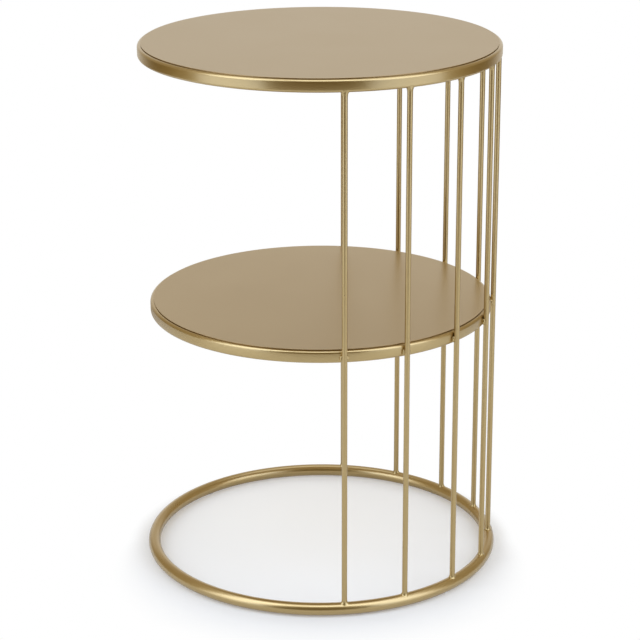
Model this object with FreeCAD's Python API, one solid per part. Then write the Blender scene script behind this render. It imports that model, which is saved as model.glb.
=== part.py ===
"""Tiered side table: two sheet discs on tube hoops, held by round uprights on one half of a floor hoop.

Millimetres. +Z is up, the origin is on the floor under the centre of the hoops, and the uprights stand
on the +X half, mirrored about the XZ plane.
"""
import FreeCAD, Part
import math
import os

from FreeCAD import Vector

# Overall sizes
TOTAL_HEIGHT = 600.0  # floor to the upper side of the top panel
SHELF_HEIGHT = 307.5  # floor to the upper side of the shelf panel
TOP_DIAMETER = 400.0  # outside of the top hoop

# Hoops of the two tiers, bent from rounded rectangular tube
HOOP_WIDTH = 10.0  # across the tube, along the radius
HOOP_HEIGHT = 13.5
HOOP_CORNER = 3.0  # outer corner radius of the tube
HOOP_WALL = 1.2
VENT_DIAMETER = 4.0  # hole in the inner wall that lets hot air out when the frame is coated

# Sheet panels that lie on the hoops
RIM_THICKNESS = 0.5  # of the panel's edge, which overhangs its seat
RIM_GAP = 0.6  # from the hoop to the underside of the edge, the dark seam round the panel
RIM_OVERHANG = 1.4  # how far the edge stands out past the seat
PANEL_MARGIN = 3.8  # from the outside of the hoop to the edge of the panel
PANEL_EDGE_ROUND = 0.2

# Uprights
UPRIGHT_COUNT = 9
UPRIGHT_DIAMETER = 6.0
UPRIGHT_ARC = 164.5  # degrees from the first upright to the last
UPRIGHT_INSET = 0.5  # from the outside of the top hoop to the outer side of an upright
SHELF_FIT = 0.1  # gap between the shelf hoop and the uprights, bridged by welds

# Floor hoop, bent from round tube
FLOOR_TUBE_DIAMETER = 14.0
FLOOR_TUBE_WALL = 1.2

# Welds at the ends of the uprights, beside the shelf hoop and under the panels
COLLAR_LEG = 1.8  # how far a weld on the floor hoop spreads from the upright
COLLAR_RISE = 2.6  # how far it climbs along the upright
THROAT_SPREAD = 1.2  # how far a weld under the top hoop stands out beside the upright
THROAT_OFFSET = 1.5  # how far its centre lies inside the upright's, which is flush with the hoop outside
THROAT_RISE = 6.5  # how far its cone runs down, to a point inside the upright
BEAD_RADIUS = 1.4
BEAD_LENGTH = 6.0  # between the centres of a bead's round ends
BEAD_STANDOFF = 0.6  # from the side of the shelf hoop to the centre line of a bead
TACK_COUNT = 8
TACK_RADIUS = 1.6
TACK_LENGTH = 14.0

# Push-in glides under the floor hoop
GLIDE_COUNT = 4
GLIDE_LIFT = 1.0  # floor to the underside of the floor hoop
GLIDE_HEAD_DIAMETER = 6.0
GLIDE_HEAD_HEIGHT = 1.5  # floor to the rim of the head, beside the tube
GLIDE_STEM_DIAMETER = 4.0
GLIDE_STEM_REACH = 4.0  # from the inner side of the tube wall to the tip of the stem
GLIDE_FIT = 0.25  # gap between the stem and its hole
GLIDE_SEAT = 0.3  # gap between the saddle of the head and the tube
BARB_OVERHANG = 0.5  # how far the barb stands out past the stem
BARB_PLAY = 0.4  # gap between the barb and the inner side of the tube wall

# Fillets are held under half of the wall that they round
FILLET_SHARE = 0.45
LEAST_CORNER = 0.2  # a bent tube has no sharp corner inside

ORIGIN = Vector(0, 0, 0)
UP = Vector(0, 0, 1)

# Radii and heights that follow from the sizes above
upright_radius = UPRIGHT_DIAMETER / 2
top_radius = TOP_DIAMETER / 2
pitch_radius = top_radius - UPRIGHT_INSET - upright_radius
shelf_radius = pitch_radius - upright_radius - SHELF_FIT
tube_radius = FLOOR_TUBE_DIAMETER / 2
tube_bore_radius = tube_radius - FLOOR_TUBE_WALL
tube_centre_height = GLIDE_LIFT + tube_radius
hoop_corner = min(HOOP_CORNER, FILLET_SHARE * min(HOOP_WIDTH, HOOP_HEIGHT))


def hoop_top(panel_height):
    """Height of a hoop's upper side, under a panel whose upper side is at panel_height."""
    return panel_height - RIM_THICKNESS - RIM_GAP


def hoop_bottom(panel_height):
    return hoop_top(panel_height) - HOOP_HEIGHT


def turned(shape, degrees):
    """A copy of shape, turned about the table's axis."""
    copy = shape.copy()
    copy.rotate(ORIGIN, UP, degrees)
    return copy


def upright_angles():
    step = UPRIGHT_ARC / (UPRIGHT_COUNT - 1)
    return [-UPRIGHT_ARC / 2 + step * index for index in range(UPRIGHT_COUNT)]


def rounded_ring(inner_radius, outer_radius, bottom, top, corner):
    """Ring of rounded rectangular section. Its seam is at -Y, clear of the uprights, vents and welds."""
    def at(radius, height):
        return Vector(0, -radius, height)

    bulge = corner * (1 - math.sqrt(0.5))
    left, right = inner_radius + corner, outer_radius - corner
    low, high = bottom + corner, top - corner
    edges = [
        Part.LineSegment(at(left, bottom), at(right, bottom)),
        Part.Arc(at(right, bottom), at(outer_radius - bulge, bottom + bulge), at(outer_radius, low)),
        Part.LineSegment(at(outer_radius, low), at(outer_radius, high)),
        Part.Arc(at(outer_radius, high), at(outer_radius - bulge, top - bulge), at(right, top)),
        Part.LineSegment(at(right, top), at(left, top)),
        Part.Arc(at(left, top), at(inner_radius + bulge, top - bulge), at(inner_radius, high)),
        Part.LineSegment(at(inner_radius, high), at(inner_radius, low)),
        Part.Arc(at(inner_radius, low), at(inner_radius + bulge, bottom + bulge), at(left, bottom)),
    ]
    section = Part.Face(Part.Wire([edge.toShape() for edge in edges]))
    return section.revolve(ORIGIN, UP, 360)


def round_ring(section_radius):
    """Ring of round section on the floor hoop's centre line, with its seam at -Y."""
    centre = Vector(0, -pitch_radius, tube_centre_height)
    section = Part.Face(Part.Wire(Part.makeCircle(section_radius, centre, Vector(1, 0, 0))))
    return section.revolve(ORIGIN, UP, 360)


def hoop_envelope(radius, panel_height):
    """A tier hoop filled solid, which cuts whatever is welded to it."""
    bottom, top = hoop_bottom(panel_height), hoop_top(panel_height)
    return rounded_ring(radius - HOOP_WIDTH, radius, bottom, top, hoop_corner)


def hoop(radius, panel_height):
    """A tier hoop: hollow tube with a vent hole in its inner wall, on the open side."""
    bottom, top = hoop_bottom(panel_height), hoop_top(panel_height)
    inner_radius = radius - HOOP_WIDTH
    bore_corner = max(hoop_corner - HOOP_WALL, LEAST_CORNER)
    bore = rounded_ring(inner_radius + HOOP_WALL, radius - HOOP_WALL, bottom + HOOP_WALL, top - HOOP_WALL,
                        bore_corner)
    vent_start = Vector(-inner_radius - HOOP_WIDTH / 2, 0, (bottom + top) / 2)
    vent = Part.makeCylinder(VENT_DIAMETER / 2, HOOP_WIDTH, vent_start, Vector(1, 0, 0))
    return hoop_envelope(radius, panel_height).cut(bore).cut(vent)


def panel(radius, panel_height):
    """Sheet disc resting on its hoop, with a rounded edge that overhangs its seat."""
    bottom = hoop_top(panel_height)
    rim_radius = radius - PANEL_MARGIN
    disc = Part.makeCylinder(rim_radius, RIM_THICKNESS, Vector(0, 0, bottom + RIM_GAP))
    rims = [edge for edge in disc.Edges if isinstance(edge.Curve, Part.Circle)]
    disc = disc.makeFillet(min(PANEL_EDGE_ROUND, FILLET_SHARE * RIM_THICKNESS), rims)
    seat = Part.makeCylinder(rim_radius - RIM_OVERHANG, RIM_GAP, Vector(0, 0, bottom))
    return disc.fuse(seat).removeSplitter()


def floor_hoop():
    """Round tube ring with a hole in its underside for the stem of each glide."""
    tube = round_ring(tube_radius).cut(round_ring(tube_bore_radius))
    hole_radius = GLIDE_STEM_DIAMETER / 2 + GLIDE_FIT
    hole = Part.makeCylinder(hole_radius, tube_centre_height, Vector(pitch_radius, 0, 0))
    for angle in glide_angles():
        tube = tube.cut(turned(hole, angle))
    return tube


def upright(bottom_envelope, top_envelope):
    """The upright on the +X axis, its ends coped to the floor hoop and the top hoop."""
    length = hoop_bottom(TOTAL_HEIGHT) + HOOP_HEIGHT / 2 - tube_centre_height
    bar = Part.makeCylinder(upright_radius, length, Vector(pitch_radius, 0, tube_centre_height))
    return bar.cut([bottom_envelope, top_envelope])


def bar_on_x():
    """The bar of the upright on the +X axis, uncut."""
    return Part.makeCylinder(upright_radius, TOTAL_HEIGHT, Vector(pitch_radius, 0, 0))


def top_weld(top_envelope):
    """Weld under the top hoop, inside and beside the upright on the +X axis: a cone cut by both."""
    centre = Vector(pitch_radius - THROAT_OFFSET, 0, hoop_bottom(TOTAL_HEIGHT))
    base_radius = upright_radius + THROAT_SPREAD
    cone = Part.makeCone(base_radius, 0, THROAT_RISE, centre, -UP)
    root = Part.makeCylinder(base_radius, HOOP_HEIGHT / 2, centre)
    return cone.fuse(root).cut(top_envelope).cut(bar_on_x())


def floor_weld(bottom_envelope):
    """Collar around the foot of the upright on the +X axis, spreading onto the floor hoop."""
    leg = min(COLLAR_LEG, FILLET_SHARE * (FLOOR_TUBE_DIAMETER - UPRIGHT_DIAMETER))

    def at(spread, climb):
        return Vector(pitch_radius + upright_radius + spread, 0, tube_centre_height + tube_radius + climb)

    hollow = 1 - math.sqrt(0.5)
    edges = [
        Part.LineSegment(at(0, -tube_radius), at(leg, -tube_radius)),
        Part.LineSegment(at(leg, -tube_radius), at(leg, 0)),
        Part.Arc(at(leg, 0), at(leg * hollow, COLLAR_RISE * hollow), at(0, COLLAR_RISE)),
        Part.LineSegment(at(0, COLLAR_RISE), at(0, -tube_radius)),
    ]
    section = Part.Face(Part.Wire([edge.toShape() for edge in edges]))
    return section.revolve(Vector(pitch_radius, 0, 0), UP, 360).cut(bottom_envelope)


def shelf_weld(side, shelf_envelope):
    """Upright bead in the groove between the shelf hoop and the upright on the +X axis, on one side."""
    middle = (hoop_bottom(SHELF_HEIGHT) + hoop_top(SHELF_HEIGHT)) / 2
    start = Vector(shelf_radius + BEAD_STANDOFF, side * upright_radius, middle - BEAD_LENGTH / 2)
    end = start + Vector(0, 0, BEAD_LENGTH)
    bead = Part.makeCylinder(BEAD_RADIUS, BEAD_LENGTH, start)
    ends = [Part.makeSphere(BEAD_RADIUS, point) for point in (start, end)]
    bead = bead.fuse(ends).removeSplitter()
    return bead.cut(shelf_envelope).cut(bar_on_x())


def panel_tack(radius, panel_height, envelope):
    """Short weld in the groove between a panel's underside and the rounded inner corner of its hoop."""
    corner_inset = hoop_corner * (1 - math.sqrt(0.5))
    tack_radius = radius - HOOP_WIDTH + corner_inset
    height = hoop_top(panel_height) - corner_inset
    start = Vector(tack_radius, 0, height)
    sweep = math.degrees(TACK_LENGTH / tack_radius)
    section = Part.Face(Part.Wire(Part.makeCircle(TACK_RADIUS, start, Vector(0, 1, 0))))
    bead = section.revolve(ORIGIN, UP, sweep)
    under_panel = Part.makeCylinder(radius, hoop_top(panel_height))
    return turned(bead.common(under_panel).cut(envelope), -sweep / 2)


def panel_tacks(radius, panel_height, envelope):
    tack = panel_tack(radius, panel_height, envelope)
    return Part.makeCompound([turned(tack, 360 * (index + 0.5) / TACK_COUNT) for index in range(TACK_COUNT)])


def glide_angles():
    return [360 * (index + 0.5) / GLIDE_COUNT for index in range(GLIDE_COUNT)]


def glide():
    """Glide on the +X axis: a flat head saddled to the tube and a barbed stem through its wall."""
    foot = Vector(pitch_radius, 0, 0)
    saddle = round_ring(tube_radius + GLIDE_SEAT)
    head = Part.makeCylinder(GLIDE_HEAD_DIAMETER / 2, GLIDE_HEAD_HEIGHT, foot).cut(saddle)
    stem_radius = GLIDE_STEM_DIAMETER / 2
    barb_radius = stem_radius + BARB_OVERHANG
    wall_inside = GLIDE_LIFT + FLOOR_TUBE_WALL
    barb_drop = tube_bore_radius - math.sqrt(tube_bore_radius ** 2 - barb_radius ** 2)
    barb_height = wall_inside + barb_drop + BARB_PLAY
    tip_height = wall_inside + GLIDE_STEM_REACH
    stem = Part.makeCylinder(stem_radius, barb_height, foot)
    barb = Part.makeCone(barb_radius, stem_radius - BARB_OVERHANG, tip_height - barb_height,
                         foot + Vector(0, 0, barb_height))
    return head.fuse(stem).fuse(barb).removeSplitter()


def copies(shapes, angles):
    return Part.makeCompound([turned(shape, angle) for angle in angles for shape in shapes])


def build():
    """Every node of the table, by name."""
    top_envelope = hoop_envelope(top_radius, TOTAL_HEIGHT)
    shelf_envelope = hoop_envelope(shelf_radius, SHELF_HEIGHT)
    bottom_envelope = round_ring(tube_radius)
    angles = upright_angles()
    bar = upright(bottom_envelope, top_envelope)
    beads = [shelf_weld(side, shelf_envelope) for side in (-1, 1)]

    nodes = {
        "top_hoop": hoop(top_radius, TOTAL_HEIGHT),
        "top_panel": panel(top_radius, TOTAL_HEIGHT),
        "shelf_hoop": hoop(shelf_radius, SHELF_HEIGHT),
        "shelf_panel": panel(shelf_radius, SHELF_HEIGHT),
        "floor_hoop": floor_hoop(),
        "top_welds": copies([top_weld(top_envelope)], angles),
        "shelf_welds": copies(beads, angles),
        "floor_welds": copies([floor_weld(bottom_envelope)], angles),
        "top_panel_tacks": panel_tacks(top_radius, TOTAL_HEIGHT, top_envelope),
        "shelf_panel_tacks": panel_tacks(shelf_radius, SHELF_HEIGHT, shelf_envelope),
        "floor_glides": copies([glide()], glide_angles()),
    }
    for number, angle in enumerate(angles, start=1):
        nodes[f"upright_{number}"] = turned(bar, angle)
    return nodes


os.makedirs("parts", exist_ok=True)
for name, shape in build().items():
    print(f"{name}: {len(shape.Solids)} solids, {shape.Volume:.1f} mm3, valid {shape.isValid()}")
    shape.exportStep(f"parts/{name}.step")
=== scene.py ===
"""Tiered side table, dressed: satin gold lacquer on welded steel hoops, sheet discs and round bars.

Metres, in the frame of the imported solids: +Z is up, the uprights stand on the +X half of the hoops
and the table is open at -X.
"""

import math

import bmesh
import bpy
from mathutils import Euler, Matrix, Vector


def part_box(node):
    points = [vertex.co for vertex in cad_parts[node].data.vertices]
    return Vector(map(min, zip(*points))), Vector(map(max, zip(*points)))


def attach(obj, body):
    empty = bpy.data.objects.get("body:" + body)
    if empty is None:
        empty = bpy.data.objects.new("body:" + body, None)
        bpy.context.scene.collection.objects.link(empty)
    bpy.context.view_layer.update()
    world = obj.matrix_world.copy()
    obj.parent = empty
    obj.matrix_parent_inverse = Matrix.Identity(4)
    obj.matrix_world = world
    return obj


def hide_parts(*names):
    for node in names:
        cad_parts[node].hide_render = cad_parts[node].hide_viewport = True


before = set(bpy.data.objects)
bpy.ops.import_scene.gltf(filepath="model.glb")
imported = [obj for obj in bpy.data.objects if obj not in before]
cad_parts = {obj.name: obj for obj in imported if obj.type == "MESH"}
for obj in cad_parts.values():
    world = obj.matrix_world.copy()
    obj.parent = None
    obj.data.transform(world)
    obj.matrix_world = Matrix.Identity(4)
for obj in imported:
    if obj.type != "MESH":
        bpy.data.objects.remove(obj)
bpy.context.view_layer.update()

MM = 0.001

# Sections that the boxes of the solids don't tell
HOOP_WIDTH = 10.0 * MM
HOOP_CORNER = 3.0 * MM
ROUND_CORNER = 0.999  # of a round tube's radius, so that its four fillets don't quite meet
PANEL_EDGE_ROUND = 0.2 * MM
RIM_GAP = 0.6 * MM  # dark seam under the edge of a panel
RIM_OVERHANG = 1.4 * MM
UPRIGHT_RADIUS = 3.0 * MM
VENT_RADIUS = 2.0 * MM
VENT_DEPTH = 4.0 * MM

# Welds
COLLAR_LEG = 1.9 * MM  # spread of a weld on the floor hoop
COLLAR_RISE = 3.4 * MM
THROAT_SIDE = 2.0 * MM  # spread of a weld under the top hoop, beside the upright
THROAT_INSIDE = 2.2 * MM  # and on the inside of the hoop
THROAT_OUTSIDE = 0.25 * MM  # and on the outside, where upright and hoop are nearly flush
THROAT_RISE = 5.5 * MM
BEAD_RADIUS = 2.0 * MM
BEAD_LENGTH = 7.5 * MM
BEAD_STANDOFF = 1.0 * MM  # of a bead's axis from the face of the shelf hoop
BEAD_DROP = 1.6 * MM  # how far a bead sits below the middle of the shelf hoop
BEAD_TAPER = 0.4  # power of the sine along a bead: the smaller, the blunter its ends
WELD_ROOT = 0.6 * MM  # how far a weld's hidden side reaches into the steel
TACK_COUNT = 8
TACK_RADIUS = 1.6 * MM
TACK_LENGTH = 14.0 * MM
TACK_TAPER = 6  # power along a tack: the larger, the blunter its ends
TACK_RIPPLE = 2.2 * MM  # from one ripple to the next
TACK_RIPPLE_SWELL = 0.07  # of the radius

# Lumps on the repeated pieces, as size and height
FILLET_LUMPS = (3.0 * MM, 0.5 * MM)
BEAD_LUMPS = (2.6 * MM, 1.4 * MM)
TACK_LUMPS = (3.0 * MM, 0.4 * MM)
NO_LUMPS = (3.0 * MM, 0.0)

# Glides
GLIDE_COUNT = 4
GLIDE_HEAD_RADIUS = 3.0 * MM
GLIDE_EDGE_ROUND = 0.3 * MM
GLIDE_SEAT = 0.3 * MM
GLIDE_STEM_RADIUS = 2.0 * MM
GLIDE_STEM_REACH = 3.6 * MM
GLIDE_TIP_LENGTH = 1.5 * MM
GLIDE_TIP_TAPER = 0.8  # of the stem's radius

# Fineness of the meshes
RING_STEPS = 360
CORNER_STEPS = 8
BAR_SIDES = 40
WELD_SIDES = 40
WELD_STEPS = 8
BEAD_SIDES = 16
BEAD_STEPS = 2 * WELD_STEPS
TACK_STEPS = 6 * WELD_STEPS
VENT_SIDES = 24
GLIDE_EDGE_STEPS = 4
SHARP_ANGLE = 40  # degrees between faces, past which an edge isn't shaded smooth
SAME_POINT = 1e-7  # points nearer than this are merged
SWEEP_SEAM = 0.01 * MM  # and on a swept hoop, where its ends meet

# Finishes
CLOUD_SIZE = 70 * MM
CLOUD_SPAN = (0.3, 0.7)  # where nearly all of the noise lies
CLOUD_DULLING = 0.02  # of the roughness, up and down
FLAKE_SIZE = 1.1 * MM  # real flakes are under 0.1 mm and drawn coarser, to show as a faint grain
FLAKE_DULLING = 0.06
LACQUER_IOR = 1.6
MOTTLE_SIZE = 2.5 * MM
MOTTLE_HEIGHT = 0.02 * MM


def extent(node):
    """Outer radius, lowest and highest point of a node that is round about the table's axis."""
    low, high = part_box(node)
    return (high.x - low.x) / 2, low.z, high.z


top_radius, top_bottom, top_top = extent("top_hoop")
shelf_radius, shelf_bottom, shelf_top = extent("shelf_hoop")
floor_radius, floor_bottom, floor_top = extent("floor_hoop")
tube_radius = (floor_top - floor_bottom) / 2
tube_centre = (floor_top + floor_bottom) / 2
pitch_radius = floor_radius - tube_radius

upright_nodes = sorted(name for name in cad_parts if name.startswith("upright_"))


def upright_angle(node):
    """Where an upright stands round the table's axis, from +X."""
    low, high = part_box(node)
    middle = (low + high) / 2
    return math.atan2(middle.y, middle.x)


upright_angles = [upright_angle(name) for name in upright_nodes]
upright_step = (upright_angles[-1] - upright_angles[0]) / (len(upright_angles) - 1)


def linear(hex_colour):
    """Linear RGBA of an sRGB hex colour."""
    channels = [int(hex_colour[place:place + 2], 16) / 255 for place in (1, 3, 5)]
    return [c / 12.92 if c <= 0.04045 else ((c + 0.055) / 1.055) ** 2.4 for c in channels] + [1.0]


def node(tree, kind, inputs=None, **settings):
    """Adds a node with its settings. An input takes a value, or a link if it is given a socket."""
    new = tree.nodes.new(kind)
    for name, value in settings.items():
        setattr(new, name, value)
    for name, value in (inputs or {}).items():
        if isinstance(value, bpy.types.NodeSocket):
            tree.links.new(value, new.inputs[name])
        else:
            new.inputs[name].default_value = value
    return new


# Materials
def new_material(name):
    """Empty node material, with its tree."""
    material = bpy.data.materials.new(name)
    material.use_nodes = True
    material.node_tree.nodes.clear()
    return material, material.node_tree


def gold_lacquer(name, colour, pale, roughness, coat_roughness, peel_size, peel_height):
    """Metallic gold lacquer, sprayed on steel and left satin: flakes blur what it mirrors, the
    spray leaves a fine orange peel, and the coat is paler and duller in broad, faint clouds."""
    material, tree = new_material(name)
    place = node(tree, "ShaderNodeTexCoord").outputs["Object"]
    clouds = node(tree, "ShaderNodeTexNoise", {
        "Vector": place, "Scale": 1 / CLOUD_SIZE, "Detail": 2.0})
    flakes = node(tree, "ShaderNodeTexNoise", {
        "Vector": place, "Scale": 1 / FLAKE_SIZE, "Detail": 1.0})
    peel = node(tree, "ShaderNodeTexNoise", {
        "Vector": place, "Scale": 1 / peel_size, "Detail": 2.0})
    tone = node(tree, "ShaderNodeMix", {
        "Factor": clouds.outputs["Fac"], "A": linear(colour), "B": linear(pale)}, data_type="RGBA")
    satin = node(tree, "ShaderNodeMapRange", {
        "Value": clouds.outputs["Fac"], "From Min": CLOUD_SPAN[0], "From Max": CLOUD_SPAN[1],
        "To Min": roughness - CLOUD_DULLING, "To Max": roughness + CLOUD_DULLING})
    grain = node(tree, "ShaderNodeMath", {
        0: flakes.outputs["Fac"], 1: FLAKE_DULLING, 2: satin.outputs["Result"]},
        operation="MULTIPLY_ADD")
    bump = node(tree, "ShaderNodeBump", {
        "Height": peel.outputs["Fac"], "Strength": 1.0, "Distance": peel_height})
    surface = node(tree, "ShaderNodeBsdfPrincipled", {
        "Base Color": tone.outputs["Result"], "Metallic": 1.0,
        "Roughness": grain.outputs["Value"], "Normal": bump.outputs["Normal"],
        "Coat Weight": 1.0, "Coat Roughness": coat_roughness, "Coat IOR": LACQUER_IOR})
    node(tree, "ShaderNodeOutputMaterial", {"Surface": surface.outputs["BSDF"]})
    return material


def natural_polyethylene(name):
    """Moulded polyethylene, uncoloured: milky and waxy, with a faint moulding texture."""
    material, tree = new_material(name)
    place = node(tree, "ShaderNodeTexCoord").outputs["Object"]
    mottle = node(tree, "ShaderNodeTexNoise", {
        "Vector": place, "Scale": 1 / MOTTLE_SIZE, "Detail": 3.0})
    tone = node(tree, "ShaderNodeMix", {
        "Factor": mottle.outputs["Fac"], "A": linear("#e9e7e1"), "B": linear("#f1efe9")},
        data_type="RGBA")
    bump = node(tree, "ShaderNodeBump", {
        "Height": mottle.outputs["Fac"], "Strength": 1.0, "Distance": MOTTLE_HEIGHT})
    surface = node(tree, "ShaderNodeBsdfPrincipled", {
        "Base Color": tone.outputs["Result"], "Roughness": 0.45, "IOR": 1.51,
        "Normal": bump.outputs["Normal"]})
    node(tree, "ShaderNodeOutputMaterial", {"Surface": surface.outputs["BSDF"]})
    return material


frame_lacquer = gold_lacquer(
    "satin_gold_lacquer_on_tube", "#c5a96d", "#c9b079", roughness=0.27, coat_roughness=0.20,
    peel_size=2.2 * MM, peel_height=0.004 * MM)
panel_lacquer = gold_lacquer(
    "satin_gold_lacquer_on_sheet", "#c6ad7b", "#cab283", roughness=0.34, coat_roughness=0.30,
    peel_size=3.0 * MM, peel_height=0.004 * MM)
weld_lacquer = gold_lacquer(
    "satin_gold_lacquer_on_weld", "#bfa56a", "#c9b076", roughness=0.32, coat_roughness=0.24,
    peel_size=1.2 * MM, peel_height=0.03 * MM)
glide_plastic = natural_polyethylene("natural_polyethylene_glide")


# Meshes
def smooth_object(name, mesh, material=None):
    """Puts a mesh in the scene as a finished piece, smooth but for its sharp edges."""
    mesh.name = name
    if material:
        mesh.materials.clear()
        mesh.materials.append(material)
    mesh.shade_smooth()
    mesh.set_sharp_from_angle(angle=math.radians(SHARP_ANGLE))
    piece = bpy.data.objects.new(name, mesh)
    bpy.context.scene.collection.objects.link(piece)
    return piece


def skin(name, rings, closed_along=False):
    """Mesh over rings that all have as many points. Open ends are closed with a face."""
    mesh = bmesh.new()
    rows = [[mesh.verts.new(point) for point in ring] for ring in rings]
    pairs = list(zip(rows, rows[1:])) + ([(rows[-1], rows[0])] if closed_along else [])
    for row, after in pairs:
        for place in range(len(row)):
            beside = (place + 1) % len(row)
            mesh.faces.new((row[place], row[beside], after[beside], after[place]))
    if not closed_along:
        mesh.faces.new(rows[0])
        mesh.faces.new(rows[-1])
    bmesh.ops.remove_doubles(mesh, verts=mesh.verts, dist=SAME_POINT)
    bmesh.ops.recalc_face_normals(mesh, faces=mesh.faces)
    data = bpy.data.meshes.new(name)
    mesh.to_mesh(data)
    mesh.free()
    return data


def circle_angles(count):
    """Angles that divide a circle evenly."""
    return [2 * math.pi * place / count for place in range(count)]


def arc(centre, radius, start, end, steps):
    """Points (radius, height) of a round stretch of an outline, angles in degrees."""
    angles = [math.radians(start + (end - start) * step / steps) for step in range(steps + 1)]
    return [(centre[0] + radius * math.cos(a), centre[1] + radius * math.sin(a)) for a in angles]


def turned_ring(radius, height, axis=(0.0, 0.0), sides=RING_STEPS):
    """Level ring of points about an upright axis."""
    return [Vector((axis[0] + radius * math.cos(a), axis[1] + radius * math.sin(a), height))
            for a in circle_angles(sides)]


def floor_tube_crown(x, y):
    """Height of the upper side of the floor hoop over a point of the floor."""
    aside = math.hypot(x, y) - pitch_radius
    return tube_centre + math.sqrt(max(tube_radius ** 2 - aside ** 2, 0.0))


def top_hoop_underside(x, y):
    """Height of the underside of the top hoop over a point of the floor."""
    past_flat = max(math.hypot(x, y) - (top_radius - HOOP_CORNER), 0.0)
    past_flat = min(past_flat, HOOP_CORNER)
    return top_bottom + HOOP_CORNER - math.sqrt(HOOP_CORNER ** 2 - past_flat ** 2)


# Geometry Nodes
def geometry_tree(name, inputs):
    """Geometry Nodes tree with the named inputs, and what its input node gives."""
    tree = bpy.data.node_groups.new(name, "GeometryNodeTree")
    tree.interface.new_socket("Geometry", in_out="INPUT", socket_type="NodeSocketGeometry")
    for label, kind in inputs.items():
        tree.interface.new_socket(label, in_out="INPUT", socket_type="NodeSocket" + kind)
    tree.interface.new_socket("Geometry", in_out="OUTPUT", socket_type="NodeSocketGeometry")
    return tree, node(tree, "NodeGroupInput").outputs


def tree_output(tree, geometry, material):
    """Ends a tree: instances made real, the material set."""
    real = node(tree, "GeometryNodeRealizeInstances", {"Geometry": geometry})
    coated = node(tree, "GeometryNodeSetMaterial", {
        "Geometry": real.outputs[0], "Material": material})
    node(tree, "NodeGroupOutput", {"Geometry": coated.outputs[0]})


def grown_mesh(tree, values, source=None):
    """Plain mesh that a tree makes, from a source mesh where it needs one."""
    holder = bpy.data.objects.new("holder", source or bpy.data.meshes.new("holder"))
    bpy.context.scene.collection.objects.link(holder)
    modifier = holder.modifiers.new("nodes", "NODES")
    modifier.node_group = tree
    for item in tree.interface.items_tree:
        if item.in_out == "INPUT" and item.name in values:
            modifier[item.identifier] = values[item.name]
    graph = bpy.context.evaluated_depsgraph_get()
    mesh = bpy.data.meshes.new_from_object(holder.evaluated_get(graph), depsgraph=graph)
    bpy.data.objects.remove(holder)
    return mesh


def bent_tube_tree():
    """A rounded rectangular section swept round a ring, with a vent in its inner wall at -X."""
    tree, given = geometry_tree("bent_tube_hoop", {
        "Ring Radius": "Float", "Section Width": "Float", "Section Height": "Float",
        "Corner Radius": "Float", "Centre Height": "Float", "Ring Steps": "Int",
        "Corner Steps": "Int", "Vent Radius": "Float", "Vent Depth": "Float", "Vented": "Bool",
        "Material": "Material"})
    ring = node(tree, "GeometryNodeCurvePrimitiveCircle", {
        "Resolution": given["Ring Steps"], "Radius": given["Ring Radius"]})
    section = node(tree, "GeometryNodeCurvePrimitiveQuadrilateral", {
        "Width": given["Section Width"], "Height": given["Section Height"]})
    rounded = node(tree, "GeometryNodeFilletCurve", {
        "Curve": section.outputs[0], "Count": given["Corner Steps"],
        "Radius": given["Corner Radius"]}, mode="POLY")
    swept = node(tree, "GeometryNodeCurveToMesh", {
        "Curve": ring.outputs[0], "Profile Curve": rounded.outputs[0]})
    whole = node(tree, "GeometryNodeMergeByDistance", {
        "Geometry": swept.outputs[0], "Distance": SWEEP_SEAM})
    half_width = node(tree, "ShaderNodeMath", {0: given["Section Width"], 1: 0.5},
                      operation="MULTIPLY")
    to_inside = node(tree, "ShaderNodeMath", {
        0: half_width.outputs[0], 1: given["Ring Radius"]}, operation="SUBTRACT")
    drill = node(tree, "GeometryNodeMeshCylinder", {
        "Vertices": VENT_SIDES, "Radius": given["Vent Radius"], "Depth": given["Vent Depth"]})
    drill_place = node(tree, "ShaderNodeCombineXYZ", {"X": to_inside.outputs[0]})
    placed_drill = node(tree, "GeometryNodeTransform", {
        "Geometry": drill.outputs[0], "Translation": drill_place.outputs[0],
        "Rotation": (0, math.pi / 2, 0)})
    vented = node(tree, "GeometryNodeMeshBoolean", {
        0: whole.outputs[0], 1: placed_drill.outputs[0]}, operation="DIFFERENCE", solver="EXACT")
    choice = node(tree, "GeometryNodeSwitch", {
        "Switch": given["Vented"], "False": whole.outputs[0], "True": vented.outputs[0]},
        input_type="GEOMETRY")
    lift = node(tree, "ShaderNodeCombineXYZ", {"Z": given["Centre Height"]})
    lifted = node(tree, "GeometryNodeTransform", {
        "Geometry": choice.outputs[0], "Translation": lift.outputs[0]})
    tree_output(tree, lifted.outputs[0], given["Material"])
    return tree


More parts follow.
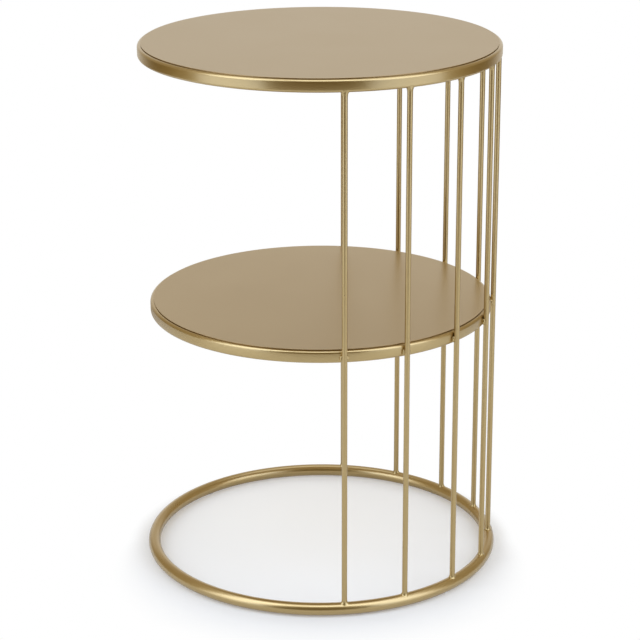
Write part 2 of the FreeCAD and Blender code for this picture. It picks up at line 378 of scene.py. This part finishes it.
def welds_tree():
    """One weld repeated round the table's axis, each copy with lumps of its own."""
    tree, given = geometry_tree("welds_round_the_hoop", {
        "Count": "Int", "First Angle": "Float", "Step Angle": "Float", "Lump Size": "Float",
        "Lump Height": "Float", "Seed": "Float", "Material": "Material"})
    points = node(tree, "GeometryNodePoints", {"Count": given["Count"]})
    index = node(tree, "GeometryNodeInputIndex")
    angle = node(tree, "ShaderNodeMath", {
        0: index.outputs[0], 1: given["Step Angle"], 2: given["First Angle"]},
        operation="MULTIPLY_ADD")
    turn = node(tree, "ShaderNodeCombineXYZ", {"Z": angle.outputs[0]})
    copies = node(tree, "GeometryNodeInstanceOnPoints", {
        "Points": points.outputs[0], "Instance": given["Geometry"], "Rotation": turn.outputs[0]})
    real = node(tree, "GeometryNodeRealizeInstances", {"Geometry": copies.outputs[0]})
    pitch = node(tree, "ShaderNodeMath", {0: 1.0, 1: given["Lump Size"]}, operation="DIVIDE")
    place = node(tree, "GeometryNodeInputPosition")
    lumps = node(tree, "ShaderNodeTexNoise", {
        "Vector": place.outputs[0], "W": given["Seed"], "Scale": pitch.outputs[0],
        "Detail": 1.0}, noise_dimensions="4D")
    swing = node(tree, "ShaderNodeMath", {0: lumps.outputs["Fac"], 1: 0.5}, operation="SUBTRACT")
    height = node(tree, "ShaderNodeMath", {
        0: swing.outputs[0], 1: given["Lump Height"]}, operation="MULTIPLY")
    outward = node(tree, "GeometryNodeInputNormal")
    offset = node(tree, "ShaderNodeVectorMath", {
        0: outward.outputs[0], "Scale": height.outputs[0]}, operation="SCALE")
    lumpy = node(tree, "GeometryNodeSetPosition", {
        "Geometry": real.outputs[0], "Offset": offset.outputs[0]})
    tree_output(tree, lumpy.outputs[0], given["Material"])
    return tree


bent_tube = bent_tube_tree()
welds_round = welds_tree()


# Pieces
def hoop(name, cad_node, width, corner, vented):
    """Tube bent to a ring, as large and as high as its solid."""
    outer_radius, bottom, top = extent(cad_node)
    mesh = grown_mesh(bent_tube, {
        "Ring Radius": outer_radius - width / 2, "Section Width": width,
        "Section Height": top - bottom, "Corner Radius": corner,
        "Centre Height": (top + bottom) / 2, "Ring Steps": RING_STEPS,
        "Corner Steps": CORNER_STEPS, "Vent Radius": VENT_RADIUS, "Vent Depth": 2 * VENT_DEPTH,
        "Vented": vented, "Material": frame_lacquer})
    return smooth_object(name, mesh)


def panel(name, cad_node):
    """Sheet disc with a rounded edge that overhangs its seat on the hoop."""
    radius, bottom, top = extent(cad_node)
    flat = radius - PANEL_EDGE_ROUND
    seat = radius - RIM_OVERHANG
    support = 2 * PANEL_EDGE_ROUND  # a narrow loop by each edge keeps the flats flat when shaded
    under = bottom + RIM_GAP
    outline = [(seat - support, bottom), (seat, bottom), (seat, under), (flat - support, under)]
    outline += arc((flat, under + PANEL_EDGE_ROUND), PANEL_EDGE_ROUND, -90, 0, CORNER_STEPS)
    outline += arc((flat, top - PANEL_EDGE_ROUND), PANEL_EDGE_ROUND, 0, 90, CORNER_STEPS)
    outline += [(flat - support, top)]
    return smooth_object(name, skin(name, [turned_ring(r, z) for r, z in outline]), panel_lacquer)


def upright(name, angle):
    """Round bar with its ends coped to the floor hoop and the top hoop."""
    axis = (pitch_radius * math.cos(angle), pitch_radius * math.sin(angle))
    plan = turned_ring(UPRIGHT_RADIUS, 0.0, axis, BAR_SIDES)
    foot = [Vector((p.x, p.y, floor_tube_crown(p.x, p.y))) for p in plan]
    head = [Vector((p.x, p.y, top_hoop_underside(p.x, p.y))) for p in plan]
    low = [Vector((p.x, p.y, floor_top + COLLAR_RISE)) for p in plan]
    high = [Vector((p.x, p.y, top_bottom - THROAT_RISE)) for p in plan]
    return smooth_object(name, skin(name, [foot, low, high, head]), frame_lacquer)


def fillet_weld(name, spread_at, rise, steel, upwards):
    """Hollow fillet round the upright on the +X axis, from the bar onto the steel that it meets."""
    side = 1 if upwards else -1

    def point(angle, radius, climb):
        x, y = pitch_radius + radius * math.cos(angle), radius * math.sin(angle)
        return Vector((x, y, steel(x, y) + side * climb))

    columns = []
    for angle in circle_angles(WELD_SIDES):
        spread = spread_at(angle)
        column = [point(angle, UPRIGHT_RADIUS - WELD_ROOT, rise)]
        for step in range(WELD_STEPS + 1):
            a = math.pi / 2 * step / WELD_STEPS
            radius = UPRIGHT_RADIUS + spread * (1 - math.cos(a))
            column.append(point(angle, radius, rise * (1 - math.sin(a))))
        column.append(point(angle, UPRIGHT_RADIUS + spread, -WELD_ROOT))
        column.append(point(angle, UPRIGHT_RADIUS - WELD_ROOT, -WELD_ROOT))
        columns.append(column)
    return skin(name, columns, closed_along=True)


def throat_spread(angle):
    """Spread of a weld under the top hoop: least on the outside, most on the inside."""
    lengthways = THROAT_OUTSIDE if math.cos(angle) > 0 else THROAT_INSIDE
    return math.hypot(lengthways * math.cos(angle), THROAT_SIDE * math.sin(angle))


def shelf_bead(name):
    """Two upright beads in the grooves between the shelf hoop and the upright on the +X axis."""
    middle = (shelf_bottom + shelf_top) / 2 - BEAD_DROP
    whole = bmesh.new()
    for side in (-1, 1):
        axis = (shelf_radius + BEAD_STANDOFF, side * UPRIGHT_RADIUS)
        rings = []
        for step in range(1, BEAD_STEPS):
            along = step / BEAD_STEPS
            radius = BEAD_RADIUS * math.sin(math.pi * along) ** BEAD_TAPER
            height = middle + BEAD_LENGTH * (along - 0.5)
            rings.append(turned_ring(radius, height, axis, BEAD_SIDES))
        whole.from_mesh(skin(name, rings))
    mesh = bpy.data.meshes.new(name)
    whole.to_mesh(mesh)
    whole.free()
    return mesh


def panel_tack(name, outer_radius, hoop_top):
    """Short weld of overlapping ripples under the edge of a panel, on the +X axis."""
    inset = HOOP_CORNER * (1 - math.sqrt(0.5))
    radius, height = outer_radius - HOOP_WIDTH + inset, hoop_top - inset
    rings = []
    for step in range(1, TACK_STEPS):
        along = 2 * step / TACK_STEPS - 1
        wave = math.cos(math.pi * along * TACK_LENGTH / TACK_RIPPLE)
        ripple = 1 + TACK_RIPPLE_SWELL * wave
        swell = TACK_RADIUS * (1 - along ** TACK_TAPER) ** 0.5 * ripple
        turn = Matrix.Rotation(along * TACK_LENGTH / 2 / radius, 3, "Z")
        rings.append([
            turn @ Vector((radius + swell * math.cos(a), 0, height + swell * math.sin(a)))
            for a in circle_angles(BEAD_SIDES)])
    return skin(name, rings)


def glide_mesh(name):
    """Glide on the +X axis: a flat head saddled to the tube, on a tapered stem."""
    axis = (pitch_radius, 0.0)
    wall_inside = floor_bottom + GLIDE_STEM_REACH
    seat = tube_radius + GLIDE_SEAT

    def level(outline):
        return [turned_ring(radius, height, axis, BAR_SIDES) for radius, height in outline]

    def saddle(radius):
        ring = turned_ring(radius, 0.0, axis, BAR_SIDES)
        asides = [math.hypot(p.x, p.y) - pitch_radius for p in ring]
        return [Vector((p.x, p.y, tube_centre - math.sqrt(seat ** 2 - aside ** 2)))
                for p, aside in zip(ring, asides)]

    edge_centre = (GLIDE_HEAD_RADIUS - GLIDE_EDGE_ROUND, GLIDE_EDGE_ROUND)
    edge = arc(edge_centre, GLIDE_EDGE_ROUND, -90, 0, GLIDE_EDGE_STEPS)
    stem = [(GLIDE_STEM_RADIUS, wall_inside),
            (GLIDE_STEM_RADIUS * GLIDE_TIP_TAPER, wall_inside + GLIDE_TIP_LENGTH)]
    saddles = [saddle(GLIDE_HEAD_RADIUS), saddle(GLIDE_STEM_RADIUS)]
    return skin(name, level(edge) + saddles + level(stem))


def repeated(name, source, row, material, lumps, seed):
    """Copies of one piece in a row round the table, given as its count, first angle and step."""
    count, first, step = row
    lump_size, lump_height = lumps
    mesh = grown_mesh(welds_round, {
        "Count": count, "First Angle": first, "Step Angle": step, "Lump Size": lump_size,
        "Lump Height": lump_height, "Seed": seed, "Material": material}, source)
    return smooth_object(name, mesh)


def even_row(count):
    """Row all round the table that has +X midway between two pieces."""
    return count, math.pi / count, 2 * math.pi / count


def finish_piece(piece, slot, *nodes):
    """Hands a piece over: it rides on the table and stands for its nodes, which are hidden. Its slot
    is not used.
    """
    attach(piece, "root")
    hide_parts(*nodes)


finish_piece(hoop("top_tube_hoop", "top_hoop", HOOP_WIDTH, HOOP_CORNER, True),
             "frame_lacquer", "top_hoop")
finish_piece(hoop("shelf_tube_hoop", "shelf_hoop", HOOP_WIDTH, HOOP_CORNER, True),
             "frame_lacquer", "shelf_hoop")
finish_piece(hoop("floor_tube_hoop", "floor_hoop", 2 * tube_radius, ROUND_CORNER * tube_radius,
                  False),
             "frame_lacquer", "floor_hoop")
top_sheet = panel("top_sheet", "top_panel")
shelf_sheet = panel("shelf_sheet", "shelf_panel")
finish_piece(top_sheet, "panel_lacquer", "top_panel")
finish_piece(shelf_sheet, "panel_lacquer", "shelf_panel")
for number, angle in enumerate(upright_angles, start=1):
    finish_piece(upright(f"upright_bar_{number}", angle), "frame_lacquer", f"upright_{number}")

upright_row = (len(upright_angles), upright_angles[0], upright_step)
tack_row = even_row(TACK_COUNT)
throat = fillet_weld("throat", throat_spread, THROAT_RISE, top_hoop_underside, False)
collar = fillet_weld("collar", lambda angle: COLLAR_LEG, COLLAR_RISE, floor_tube_crown, True)
finish_piece(repeated("top_weld_throats", throat, upright_row, weld_lacquer, FILLET_LUMPS,
                      seed=1.0),
             "weld_lacquer", "top_welds")
finish_piece(repeated("floor_weld_collars", collar, upright_row, weld_lacquer, FILLET_LUMPS,
                      seed=2.0),
             "weld_lacquer", "floor_welds")
finish_piece(repeated("shelf_weld_beads", shelf_bead("bead"), upright_row, weld_lacquer, BEAD_LUMPS,
                      seed=3.0),
             "weld_lacquer", "shelf_welds")
finish_piece(repeated("top_sheet_tacks", panel_tack("tack", top_radius, top_top), tack_row,
                      weld_lacquer, TACK_LUMPS, seed=4.0),
             "weld_lacquer", "top_panel_tacks")
finish_piece(repeated("shelf_sheet_tacks", panel_tack("tack", shelf_radius, shelf_top), tack_row,
                      weld_lacquer, TACK_LUMPS, seed=5.0),
             "weld_lacquer", "shelf_panel_tacks")
finish_piece(repeated("push_in_glides", glide_mesh("glide"), even_row(GLIDE_COUNT), glide_plastic,
                      NO_LUMPS, seed=6.0),
             "glide_plastic", "floor_glides")

# Floor of the stage
FLOOR_RADIUS = 2.2
FLOOR_WHOLE = 1.0  # the floor is opaque to this radius and fades out past it
FLOOR_THICKNESS = 2 * MM
FLOOR_SIDES = 64
FLOOR_COLOUR = "#e7e3db"
FLOOR_MIRRORED = "#d7d2c8"  # as metal mirrors it
FLOOR_MIRRORED_BEHIND = "#aa9573"  # and behind the table
FLOOR_TURNS = (0.45, 0.90)  # how far behind the axis the one passes into the other
FLOOR_GLOW_AHEAD = 0.165  # own light to the camera, which makes it white where no shadow falls
FLOOR_GLOW_BEHIND = 0.27
FLOOR_GLOW_TO_METAL = 0.08
SHADOW_KEPT = 0.205  # the camera sees the shadow whole to this radius
SHADOW_GONE_AHEAD = 0.29  # and plain white past this one, in front of the table
SHADOW_GONE_BEHIND = 0.23  # and behind it

# Room that metal mirrors, in linear colours, since the ceiling is brighter than white
ROOM_SIDES = (0.40, 0.325, 0.20, 1.0)
ROOM_FRONT = (0.15, 0.104, 0.024, 1.0)
ROOM_BACK = (0.75, 0.71, 0.64, 1.0)
ROOM_CEILING = (1.12, 1.16, 1.24, 1.0)
FLOOR_SEEN = (  # far floor, from in front of the table (0) to behind it (1)
    (0.00, (0.165, 0.112, 0.040)), (0.20, (0.165, 0.112, 0.040)), (0.53, (0.34, 0.25, 0.085)),
    (0.68, (0.22, 0.15, 0.045)), (0.81, (0.22, 0.16, 0.07)), (0.91, (0.50, 0.44, 0.34)),
    (1.00, (0.72, 0.68, 0.60)))

# Where its parts begin and are whole, on one axis of the direction that metal looks in
ABOVE_FLOOR = (-0.10, 0.04)  # Z
CEILING = (0.80, 0.93)  # Z
FRONT = (-0.45, -0.85)  # Y
BACK = (0.1, 0.5)  # Y
BACK_FROM_SIDE = (0.70, 0.25)  # X, either way
BACK_FROM_ABOVE = (0.80, 0.10)  # Z

# Light of the room and the lamps
ROOM_LIGHT = "#ffffff"
ROOM_TURNS = (-0.6, 0.6)  # Y, from the room's level in front to that behind
ROOM_LEVELS = (0.50, 1.22)
ROOM_DIMS = (0.65, 0.90)  # Z, from its whole level to the share that is left overhead
ROOM_SHARES = (1.0, 0.1)
LAMP_LIGHT = "#d4e4ff"
LAMP_TARGET = Vector((0, 0, 0.5))
SHEET_SHARE = 0.40  # of the large softboxes' light: with all of it the sheets mirror plain white
SHEET_LAMP_GAP = 10 * MM  # between the lamp for all pieces and the one that spares the sheets


def white_floor():
    """White paper sweep: matt, keeps the soft shadow and fades into the white room farther out."""
    material, tree = new_material("white_paper_sweep")
    place = node(tree, "ShaderNodeTexCoord").outputs["Object"]
    away = node(tree, "ShaderNodeVectorMath", {0: place}, operation="LENGTH").outputs["Value"]
    fade = node(tree, "ShaderNodeMapRange", {
        "Value": away, "From Min": FLOOR_WHOLE, "From Max": FLOOR_RADIUS},
        interpolation_type="SMOOTHSTEP")
    depth = node(tree, "ShaderNodeSeparateXYZ", {"Vector": place}).outputs["Y"]
    reach = node(tree, "ShaderNodeMapRange", {
        "Value": depth, "From Min": -SHADOW_KEPT, "From Max": 0.0,
        "To Min": SHADOW_GONE_AHEAD, "To Max": SHADOW_GONE_BEHIND})
    bleach = node(tree, "ShaderNodeMapRange", {
        "Value": away, "From Min": SHADOW_KEPT, "From Max": reach.outputs["Result"]},
        interpolation_type="SMOOTHSTEP")
    path = node(tree, "ShaderNodeLightPath").outputs
    behind = node(tree, "ShaderNodeMapRange", {
        "Value": depth, "From Min": FLOOR_TURNS[0], "From Max": FLOOR_TURNS[1]})
    mirror_tone = node(tree, "ShaderNodeMix", {
        "Factor": behind.outputs["Result"], "A": linear(FLOOR_MIRRORED),
        "B": linear(FLOOR_MIRRORED_BEHIND)}, data_type="RGBA")
    albedo = node(tree, "ShaderNodeMix", {
        "Factor": path["Is Glossy Ray"], "A": linear(FLOOR_COLOUR),
        "B": mirror_tone.outputs["Result"]}, data_type="RGBA")
    matt = node(tree, "ShaderNodeBsdfDiffuse", {"Color": albedo.outputs["Result"]})
    straight = node(tree, "ShaderNodeMath", {
        0: path["Is Camera Ray"], 1: path["Is Transmission Ray"]}, operation="MAXIMUM")
    mirrored = node(tree, "ShaderNodeMath", {
        0: path["Is Glossy Ray"], 1: FLOOR_GLOW_TO_METAL}, operation="MULTIPLY")
    own = node(tree, "ShaderNodeMapRange", {
        "Value": depth, "From Min": -SHADOW_KEPT, "From Max": SHADOW_KEPT,
        "To Min": FLOOR_GLOW_AHEAD, "To Max": FLOOR_GLOW_BEHIND})
    share = node(tree, "ShaderNodeMath", {
        0: straight.outputs[0], 1: own.outputs["Result"], 2: mirrored.outputs[0]},
        operation="MULTIPLY_ADD")
    glow = node(tree, "ShaderNodeEmission", {"Strength": share.outputs[0]})
    paper = node(tree, "ShaderNodeAddShader", {0: matt.outputs[0], 1: glow.outputs[0]})
    clear = node(tree, "ShaderNodeBsdfTransparent")
    faded = node(tree, "ShaderNodeMixShader", {
        0: fade.outputs["Result"], 1: paper.outputs[0], 2: clear.outputs[0]})
    white = node(tree, "ShaderNodeEmission", {"Strength": 1.0})
    bleached = node(tree, "ShaderNodeMath", {
        0: straight.outputs[0], 1: bleach.outputs["Result"]}, operation="MULTIPLY")
    seen = node(tree, "ShaderNodeMixShader", {
        0: bleached.outputs[0], 1: faded.outputs[0], 2: white.outputs[0]})
    node(tree, "ShaderNodeOutputMaterial", {"Surface": seen.outputs[0]})
    material.cycles.emission_sampling = "NONE"
    mesh = skin("floor", [turned_ring(FLOOR_RADIUS, height, sides=FLOOR_SIDES)
                          for height in (-FLOOR_THICKNESS, 0.0)])
    mesh.materials.append(material)
    floor = bpy.data.objects.new("floor", mesh)
    bpy.context.scene.collection.objects.link(floor)


def set_stops(ramp, stops):
    """Colours of a ramp, from (place, colour) pairs in rising order."""
    while len(ramp.elements) < len(stops):
        ramp.elements.new(1.0)
    for element, (place, colour) in zip(ramp.elements, stops):
        element.position = place
        element.color = (*colour, 1.0)


def studio_world():
    """White to the camera. Metal sees a studio: a pale wall behind the table, dim sides, a dark
    front and a bright ceiling."""
    world = bpy.data.worlds.new("studio")
    world.use_nodes = True
    tree = world.node_tree
    tree.nodes.clear()
    direction = node(tree, "ShaderNodeTexCoord").outputs["Generated"]
    axes = node(tree, "ShaderNodeSeparateXYZ", {"Vector": direction}).outputs
    above = node(tree, "ShaderNodeMapRange", {
        "Value": axes["Z"], "From Min": ABOVE_FLOOR[0], "From Max": ABOVE_FLOOR[1]},
        interpolation_type="SMOOTHSTEP")
    wall = node(tree, "ShaderNodeMapRange", {
        "Value": axes["Z"], "From Min": BACK_FROM_ABOVE[0], "From Max": BACK_FROM_ABOVE[1]},
        interpolation_type="SMOOTHSTEP")
    aside = node(tree, "ShaderNodeMath", {0: axes["X"]}, operation="ABSOLUTE")
    facing = node(tree, "ShaderNodeMapRange", {
        "Value": aside.outputs[0], "From Min": BACK_FROM_SIDE[0], "From Max": BACK_FROM_SIDE[1]},
        interpolation_type="SMOOTHSTEP")
    past = node(tree, "ShaderNodeMapRange", {
        "Value": axes["Y"], "From Min": BACK[0], "From Max": BACK[1]},
        interpolation_type="SMOOTHSTEP")
    behind = node(tree, "ShaderNodeMath", {0: facing.outputs[0], 1: past.outputs[0]},
                  operation="MULTIPLY")
    ahead = node(tree, "ShaderNodeMapRange", {
        "Value": axes["Y"], "From Min": FRONT[0], "From Max": FRONT[1]},
        interpolation_type="SMOOTHSTEP")
    back_wall = node(tree, "ShaderNodeMath", {0: wall.outputs[0], 1: behind.outputs[0]},
                     operation="MULTIPLY")
    front = node(tree, "ShaderNodeMix", {
        "Factor": ahead.outputs[0], "A": ROOM_SIDES, "B": ROOM_FRONT}, data_type="RGBA")
    upper = node(tree, "ShaderNodeMix", {
        "Factor": back_wall.outputs[0], "A": front.outputs["Result"], "B": ROOM_BACK},
        data_type="RGBA")
    overhead = node(tree, "ShaderNodeMapRange", {
        "Value": axes["Z"], "From Min": CEILING[0], "From Max": CEILING[1]},
        interpolation_type="SMOOTHSTEP")
    roofed = node(tree, "ShaderNodeMix", {
        "Factor": overhead.outputs[0], "A": upper.outputs["Result"], "B": ROOM_CEILING},
        data_type="RGBA")
    backwards = node(tree, "ShaderNodeMapRange", {
        "Value": axes["Y"], "From Min": -1.0, "From Max": 1.0})
    lower = node(tree, "ShaderNodeValToRGB", {"Fac": backwards.outputs[0]})
    set_stops(lower.color_ramp, FLOOR_SEEN)
    room_seen = node(tree, "ShaderNodeMix", {
        "Factor": above.outputs[0], "A": lower.outputs["Color"], "B": roofed.outputs["Result"]},
        data_type="RGBA")
    path = node(tree, "ShaderNodeLightPath").outputs
    from_behind = node(tree, "ShaderNodeMapRange", {
        "Value": axes["Y"], "From Min": ROOM_TURNS[0], "From Max": ROOM_TURNS[1],
        "To Min": ROOM_LEVELS[0], "To Max": ROOM_LEVELS[1]})
    from_aside = node(tree, "ShaderNodeMapRange", {
        "Value": axes["Z"], "From Min": ROOM_DIMS[0], "From Max": ROOM_DIMS[1],
        "To Min": ROOM_SHARES[0], "To Max": ROOM_SHARES[1]})
    room_level = node(tree, "ShaderNodeMath", {
        0: from_behind.outputs[0], 1: from_aside.outputs[0]}, operation="MULTIPLY")
    room = node(tree, "ShaderNodeBackground", {
        "Color": linear(ROOM_LIGHT), "Strength": room_level.outputs[0]})
    mirrored = node(tree, "ShaderNodeBackground", {
        "Color": room_seen.outputs["Result"], "Strength": 1.0})
    white = node(tree, "ShaderNodeBackground", {"Color": (1.0, 1.0, 1.0, 1.0), "Strength": 1.0})
    off_metal = node(tree, "ShaderNodeMixShader", {
        0: path["Is Glossy Ray"], 1: room.outputs[0], 2: mirrored.outputs[0]})
    straight = node(tree, "ShaderNodeMath", {
        0: path["Is Camera Ray"], 1: path["Is Transmission Ray"]}, operation="MAXIMUM")
    seen = node(tree, "ShaderNodeMixShader", {
        0: straight.outputs[0], 1: off_metal.outputs[0], 2: white.outputs[0]})
    node(tree, "ShaderNodeOutputWorld", {"Surface": seen.outputs[0]})
    world.cycles.sampling_method = "NONE"
    bpy.context.scene.world = world


def softbox(name, azimuth, distance, centre_height, width, height, radiance):
    """Soft lamp aimed at the table, at an azimuth from the camera's side towards its right."""
    heading = math.radians(azimuth)
    place = Vector((distance * math.sin(heading), -distance * math.cos(heading), centre_height))
    data = bpy.data.lights.new(name, "AREA")
    data.shape = "RECTANGLE"
    data.size = width
    data.size_y = height
    data.energy = radiance * math.pi * width * height
    data.color = linear(LAMP_LIGHT)[:3]
    lamp = bpy.data.objects.new(name, data)
    lamp.location = place
    lamp.rotation_euler = (LAMP_TARGET - place).to_track_quat("-Z", "Y").to_euler()
    lamp.visible_camera = False
    bpy.context.scene.collection.objects.link(lamp)
    return lamp


def keep_off(lamp, pieces):
    """Keeps a lamp's light off some pieces."""
    spared = bpy.data.collections.new(lamp.name + "_spares")
    for piece in pieces:
        spared.objects.link(piece)
    for entry in spared.collection_objects:
        entry.light_linking.link_state = "EXCLUDE"
    lamp.light_linking.receiver_collection = spared


def large_softbox(name, azimuth, distance, centre_height, width, height, radiance):
    """Two softboxes, one just behind the other, of which the second spares the sheets."""
    softbox(name, azimuth, distance, centre_height, width, height, radiance * SHEET_SHARE)
    second = softbox(name + "_off_sheets", azimuth, distance + SHEET_LAMP_GAP, centre_height,
                     width, height, radiance * (1 - SHEET_SHARE))
    keep_off(second, (top_sheet, shelf_sheet))


white_floor()
studio_world()
large_softbox("left_softbox", azimuth=-54, distance=1.6, centre_height=1.6, width=1.3, height=2.1,
              radiance=2.4)
large_softbox("right_softbox", azimuth=54, distance=1.6, centre_height=1.55, width=1.45, height=2.0,
              radiance=2.1)
softbox("left_card", azimuth=-54, distance=1.6, centre_height=0.28, width=1.3, height=0.56,
        radiance=1.32)
softbox("right_card", azimuth=54, distance=1.6, centre_height=0.28, width=1.45, height=0.56,
        radiance=1.18)
softbox("top_softbox", azimuth=5, distance=0.7, centre_height=2.2, width=0.8, height=0.8,
        radiance=1.9)

# Camera, fitted to the edges of the three hoops in the photograph
SENSOR_WIDTH = 36.0  # mm
CAMERA_LENS = 120.2  # mm
CAMERA_DISTANCE = 2.3131  # from the table's axis, along the floor
CAMERA_HEIGHT = 1.0635
CAMERA_PITCH = 18.804  # degrees down
CAMERA_ROLL = -0.17  # degrees
CAMERA_TURN = 0.4  # degrees round the table from -Y towards +X
CAMERA_AIM = 0.019  # degrees left of the table's axis

camera_data = bpy.data.cameras.new("camera")
camera_data.lens = CAMERA_LENS
camera_data.sensor_width = SENSOR_WIDTH
camera = bpy.data.objects.new("camera", camera_data)
turn = math.radians(CAMERA_TURN)
camera.location = (CAMERA_DISTANCE * math.sin(turn), -CAMERA_DISTANCE * math.cos(turn),
                   CAMERA_HEIGHT)
aim = Euler((math.radians(90 - CAMERA_PITCH), 0, turn + math.radians(CAMERA_AIM))).to_matrix()
camera.rotation_euler = (aim @ Matrix.Rotation(math.radians(CAMERA_ROLL), 3, "Z")).to_euler()
bpy.context.scene.collection.objects.link(camera)
bpy.context.scene.camera = camera
bpy.context.scene.view_settings.view_transform = "Standard"
